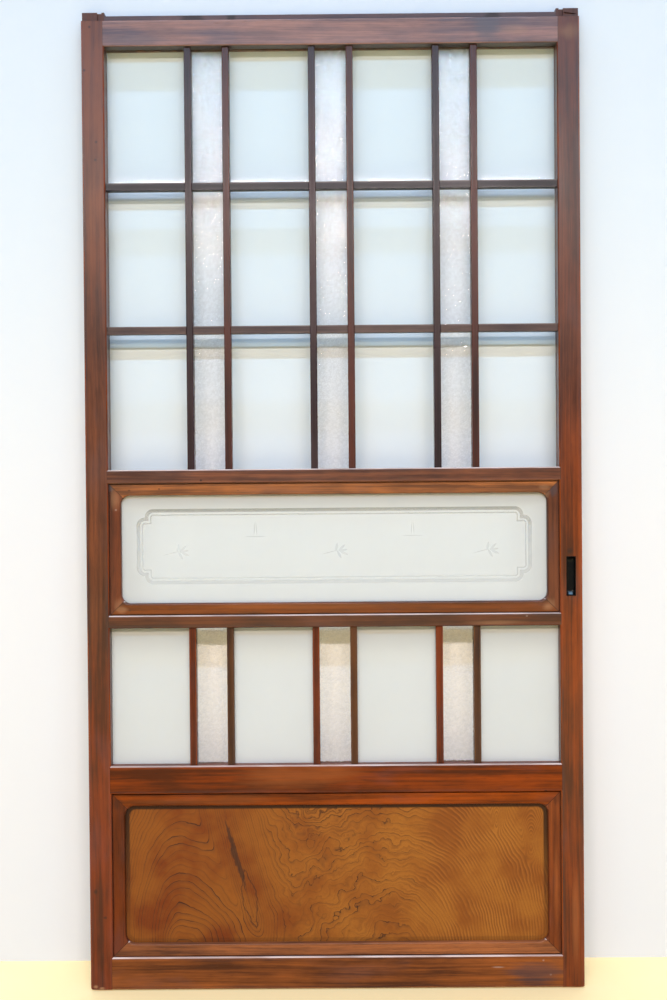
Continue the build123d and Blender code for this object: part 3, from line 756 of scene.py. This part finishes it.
def figured_panel():
    """Golden brown board with thin dark rings in its left half and fine flowing ones in its right."""
    f = Finish("panel_wood")
    x, y, z = [part / MM for part in f.place()]
    field = figure_field(f, x, z)
    right = x.rise(60.0, 230.0)
    crown = x.rise(-120.0, -70.0) * x.fall(0.0, 50.0) * z.rise(250.0, 290.0)
    cloud = f.noise(f.vector(x, z, 0.0), scale=0.012, detail=4.0)
    fleck = f.noise(f.vector(x, z, 5.0), scale=0.9, detail=3.0)
    colour = f.mix(*PANEL_SHADES, cloud.rise(0.30, 0.62) * 0.5 + x.rise(-250.0, 60.0) * 0.42)
    colour = f.mix(colour, PANEL_FLECK, fleck.rise(0.50, 0.75) * 0.5)

    fine = field / FINE_PITCH
    weak = f.noise(f.vector(x, z, 11.0), scale=0.03, detail=2.0).rise(0.35, 0.65)
    ring = fine.fraction().rise(0.35, 0.95) * fine.fraction().fall(0.955, 1.0)
    fineness = (0.22 + right * 0.33).most(crown * 0.9)
    colour = f.mix(colour, FINE_RING, ring * fineness * (0.35 + weak * 0.65))
    glow = fine.fraction().rise(0.0, 0.2) * fine.fraction().fall(0.2, 0.5)
    colour = f.mix(colour, RING_GLOW, glow * right * weak * 0.3)

    bold = field / BOLD_PITCH
    share = bold.fraction()
    strength = f.random(bold.whole() + 0.5).rise(0.05, 0.75, 0.3, 1.0) * (1.0 - right * 0.9)
    broken = f.noise(f.vector(x, z, 17.0), scale=0.05, detail=2.0).rise(0.32, 0.60)
    thin = share.rise(0.84, 0.95) * share.fall(0.965, 1.0)
    wide = share.rise(0.35, 0.97) * share.fall(0.97, 1.0)
    colour = f.mix(colour, BOLD_SHADE, wide * strength * 0.35)
    colour = f.mix(colour, BOLD_LINE, thin * strength * (0.4 + broken * 0.6))

    bent = x + (f.noise(f.vector(x, z, 21.0), scale=0.05, detail=3.0) - 0.5) * 16.0
    lens = leaf(f, bent, z, -183.0, 238.0, math.radians(-74), 135.0, 9.0, 1.6)
    outer = leaf(f, bent, z, -158.0, 158.0, math.radians(-78), 112.0, 25.0, 1.0)
    inner = leaf(f, bent, z, -158.0, 158.0, math.radians(-78), 105.0, 21.5, 1.0)
    stripes = f.noise(f.vector(x * 0.9, z * 0.05, 0.0), detail=2.0)
    colour = f.mix(colour, STREAK_HEART, lens * (0.45 + stripes * 0.6))
    colour = f.mix(colour, STREAK_RING, (outer - inner).most(0.0) * 0.8)

    sides = [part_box(f"panel_frame_{side}") for side in ("left", "right", "bottom", "top")]
    left, right_side, foot, head = sides
    half_wide = (right_side[0].x - left[1].x) / 2 / MM
    half_high = (head[0].z - foot[1].z) / 2 / MM
    level = (head[0].z + foot[1].z) / 2 / MM
    inward = -rounded_box(f, x, z - level, half_wide, half_high, 14.0)
    rim = inward.fall(0.5, 3.8) * (z - level).rise(-half_high, half_high, 0.25, 1.0)
    colour = f.mix(colour, PANEL_RIM, rim * 0.9)
    relief = fleck * 0.5 - ring * 0.25 - thin * 0.3
    return f.done(f.principled(base_color=colour, roughness=0.42 + (fleck - 0.5) * 0.1,
                               specular_ior_level=0.15, normal=f.bump(relief, WOOD_RELIEF, 0.5)))


def black_pull():
    """Gloss black lacquer on pressed metal, with a little dust and a painted glint low in the scoop."""
    f = Finish("pull_metal")
    x, y, z = f.place()
    dust = f.noise(f.vector(x, y, z), scale=260.0, detail=3.0)
    colour = f.mix((0.002, 0.003, 0.004), (0.008, 0.008, 0.008), dust.rise(0.5, 0.8))
    low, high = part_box("finger_pull_front")
    # Painted glint, a pale patch low in the scoop
    scoop = z.fall(low.z + 4 * MM, low.z + 8 * MM) * z.rise(low.z + 1.5 * MM, low.z + 3 * MM)
    middle = abs(x - (low.x + high.x) / 2).fall(2.5 * MM, 4.5 * MM)
    colour = f.mix(colour, (0.16, 0.27, 0.36), scoop * middle * 0.8)
    return f.done(f.principled(base_color=colour, roughness=0.25 + dust * 0.12, specular_ior_level=0.08,
                               coat_weight=0.05, coat_roughness=0.08))


def dull_steel():
    f = Finish("roller_steel")
    x, y, z = f.place()
    cloud = f.noise(f.vector(x, y, z), scale=120.0, detail=4.0)
    colour = f.mix((0.42, 0.41, 0.39), (0.25, 0.20, 0.16), cloud.rise(0.45, 0.7))
    return f.done(f.principled(base_color=colour, metallic=1.0, roughness=0.35 + cloud * 0.25,
                               normal=f.bump(cloud, 0.05 * MM, 0.3)))


def old_iron():
    """Brad heads, dark with rust and old lacquer."""
    f = Finish("brad_iron")
    x, y, z = f.place()
    rust = f.noise(f.vector(x, y, z), scale=900.0, detail=3.0)
    colour = f.mix((0.020, 0.014, 0.012), (0.075, 0.030, 0.015), rust.rise(0.45, 0.7))
    return f.done(f.principled(base_color=colour, metallic=0.4, roughness=0.55 + rust * 0.2))


def worn_brass():
    f = Finish("roller_brass")
    x, y, z = f.place()
    cloud = f.noise(f.vector(x, y, z), scale=160.0, detail=3.0)
    colour = f.mix((0.55, 0.38, 0.16), (0.30, 0.19, 0.09), cloud.rise(0.42, 0.66))
    return f.done(f.principled(base_color=colour, metallic=1.0, roughness=0.28 + cloud * 0.25))


def dress_frame():
    """The stiles, rails and mitred frames."""
    rail_gloss = {"top_rail": HIGH_GLOSS, "lower_mid_rail": LOW_GLOSS, "bottom_rail": LOW_GLOSS}
    seed = 1
    for name in ("left_stile", "right_stile"):
        dress(name, stained_wood(name, "Z", TONES[name], seed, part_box(name)))
        seed += 1
    for name in ("top_rail", "upper_mid_rail", "middle_rail", "lower_mid_rail", "bottom_rail"):
        low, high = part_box(name)
        corners = (low, Vector((high.x, high.y, min(high.z, HEAD_LEVEL))))
        crest_highlight_and_wear = 0.0 if name == "top_rail" else 0.85
        gloss = rail_gloss.get(name, SATIN_GLOSS)
        dress(name, stained_wood(name, "X", TONES[name], seed, corners, shoulder_gap, crest_highlight_and_wear, gloss))
        seed += 1
    for field in ("etched_frame", "panel_frame"):
        sides = [f"{field}_{side}" for side in ("bottom", "top", "left", "right")]
        gaps = mitre_gap(*box_of(*sides))
        for name in sides:
            grain = "X" if name.endswith(("bottom", "top")) else "Z"
            crest_highlight_and_wear = 0.9 if name.endswith("bottom") else 0.0
            gloss = LOW_GLOSS if field == "panel_frame" else SATIN_GLOSS
            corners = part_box(name)
            dress(name, stained_wood(name, grain, TONES[name], seed, corners, gaps, crest_highlight_and_wear, gloss))
            seed += 1


def dress_lattice():
    """The bars, and the strips and beads behind them. Every other bar is redder."""
    seed = 40
    for row, tones in (("upper", UPPER_BAR_TONES), ("lower", LOWER_BAR_TONES)):
        for number in range(1, 7):
            name = f"{row}_bar_{number}"
            tone = tones[(number + 1) % 2]
            gloss = LOW_GLOSS if row == "lower" else BAR_GLOSS
            dress(name, stained_wood(name, "Z", tone, seed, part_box(name), gloss=gloss))
            seed += 1
    for name in ("upper_cross_bar_1", "upper_cross_bar_2"):
        dress(name, stained_wood(name, "X", TONES[name], seed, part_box(name), crossing_gap, 0.15,
                                 BAR_GLOSS))
        seed += 1
    for name in ("upper_rear_strips", "lower_rear_strips", "upper_edge_beads", "lower_edge_beads"):
        dress(name, stained_wood(name, "Z", REAR_TONE, seed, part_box(name)))
        seed += 1


def dress_glass():
    dress("upper_clear_panes", clear_glass())
    dress("lower_frosted_panes", frosted_glass())
    dress("etched_glass", etched_glass())
    pebbled = textured_glass()
    for row in ("upper", "lower"):
        pebbled_panes(f"{row}_pebbled_panes", f"{row}_textured_panes", pebbled)


def dress_fittings():
    black = black_pull()
    for name in ("finger_pull_front", "finger_pull_back"):
        dress(name, black)
    steel = dull_steel()
    for name in ("roller_housings", "roller_axles"):
        dress(name, steel)
    dress("roller_wheels", worn_brass())


def make_brads():
    """Round brad heads, punched almost level with the face of the moulding."""
    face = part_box("etched_frame_top")[0].y
    upright = Matrix.Rotation(math.pi / 2, 4, "X")
    bm = bmesh.new()
    for at_x, at_z in BRADS:
        middle = Vector((at_x * MM, face + BRAD_LENGTH / 2 - BRAD_PROUD, at_z * MM))
        head = bmesh.ops.create_cone(bm, cap_ends=True, segments=14, radius1=BRAD_RADIUS,
                                     radius2=BRAD_RADIUS, depth=BRAD_LENGTH,
                                     matrix=Matrix.Translation(middle) @ upright)["verts"]
        rim = [edge for edge in {e for v in head for e in v.link_edges}
               if all(v.co.y < middle.y for v in edge.verts)]
        bmesh.ops.bevel(bm, geom=rim, offset=BRAD_PROUD, offset_type="OFFSET", segments=2,
                        profile=0.5, affect="EDGES", material=-1)
    new_piece("moulding_brads", bm, old_iron(), smooth=False)


def stage_sheet(name, corners, material):
    bm = bmesh.new()
    bm.faces.new([bm.verts.new(corner) for corner in corners])
    mesh = bpy.data.meshes.new(name)
    bm.to_mesh(mesh)
    bm.free()
    piece = bpy.data.objects.new(name, mesh)
    bpy.context.scene.collection.objects.link(piece)
    piece.data.materials.append(material)


def set_stage():
    """A plain pale floor, and a pale wall that is open from behind and to the lamps."""
    low, high = cad_box
    f = Finish("stage_floor")
    seen = f.path("Camera").most(f.path("Glossy")).most(f.path("Transmission"))
    colour = f.mix(FLOOR_LIT, FLOOR_SEEN, seen)
    glow = f.mix(BLACK, FLOOR_GLOW, seen)
    floor = f.done(f.principled(base_color=colour, roughness=0.6,
                                emission_color=glow, emission_strength=1.0))
    ground = low.z - FLOOR_DROP
    reach = FLOOR_HALF
    stage_sheet("floor", [(-reach, -reach, ground), (reach, -reach, ground),
                          (reach, reach, ground), (-reach, reach, ground)], floor)
    f = Finish("stage_wall")
    x, y, z = f.place()
    colour = f.mix(WALL_LOW, WALL_HIGH, z.rise(0.7, 1.6))
    plain = f.principled(base_color=colour, roughness=1.0, specular_ior_level=0.0)
    gone = f.transparent(WHITE)
    wall = f.done(f.mix_shaders(plain, gone, f.backfacing().most(f.path("Shadow"))))
    foot_y = high.y + WALL_GAP_FOOT
    slope = (WALL_GAP_TOP - WALL_GAP_FOOT) / high.z
    top_y = foot_y + slope * WALL_HEIGHT
    half = WALL_HALF_WIDTH
    stage_sheet("wall", [(-half, foot_y, ground), (half, foot_y, ground),
                         (half, top_y, WALL_HEIGHT), (-half, top_y, WALL_HEIGHT)], wall)


def area_lamp(name, place, width, depth, power, colour):
    """A flat lamp that faces the floor."""
    data = bpy.data.lights.new(name, "AREA")
    data.shape = "RECTANGLE"
    data.size = width
    data.size_y = depth
    data.energy = power
    data.color = colour
    lamp = bpy.data.objects.new(name, data)
    lamp.location = place
    bpy.context.scene.collection.objects.link(lamp)


def set_light():
    for name, (ahead, power, colour) in LAMP_ROWS.items():
        area_lamp(f"{name}_lamps", (0.0, -ahead, LAMP_HEIGHT), LAMP_LENGTH, LAMP_WIDTH, power, colour)
    area_lamp("rear_lamps", REAR_PLACE, LAMP_LENGTH, REAR_WIDTH, REAR_POWER, REAR_COLOUR)


def set_world():
    """Pale to the camera and the glass. To gloss it is dimmer in front of the leaf than behind it."""
    f = Finish("room", "worlds")
    x, y, z = f.parts(f.node("ShaderNodeTexCoord", output="Generated"))
    shade = f.node("ShaderNodeBackground", {"Color": ROOM_SHADE, "Strength": ROOM_STRENGTH})
    pale = f.node("ShaderNodeBackground", {"Color": ROOM_SEEN, "Strength": 1.0})
    mirrored = f.path("Glossy") * y.rise(-0.2, 0.5, 0.1, 0.8)
    seen = f.path("Camera").most(f.path("Transmission")).most(mirrored)
    bpy.context.scene.world = f.done(f.mix_shaders(shade, pale, seen), "World")


def set_camera():
    data = bpy.data.cameras.new("camera")
    data.sensor_width = SENSOR
    data.lens = LENS
    camera = bpy.data.objects.new("camera", data)
    turn = (Matrix.Rotation(math.radians(CAMERA_YAW), 4, "Z")
            @ Matrix.Rotation(math.radians(CAMERA_PITCH), 4, "X")
            @ Matrix.Rotation(math.radians(CAMERA_ROLL), 4, "Y") @ Matrix.Rotation(math.pi / 2, 4, "X"))
    camera.matrix_world = Matrix.Translation(CAMERA_PLACE) @ turn
    bpy.context.scene.collection.objects.link(camera)
    bpy.context.scene.camera = camera


dress_frame()
dress_lattice()
dress("wood_panel", figured_panel())
dress_glass()
dress_fittings()
make_brads()
set_stage()
set_light()
set_world()
set_camera()
bpy.context.scene.view_settings.view_transform = "Standard"
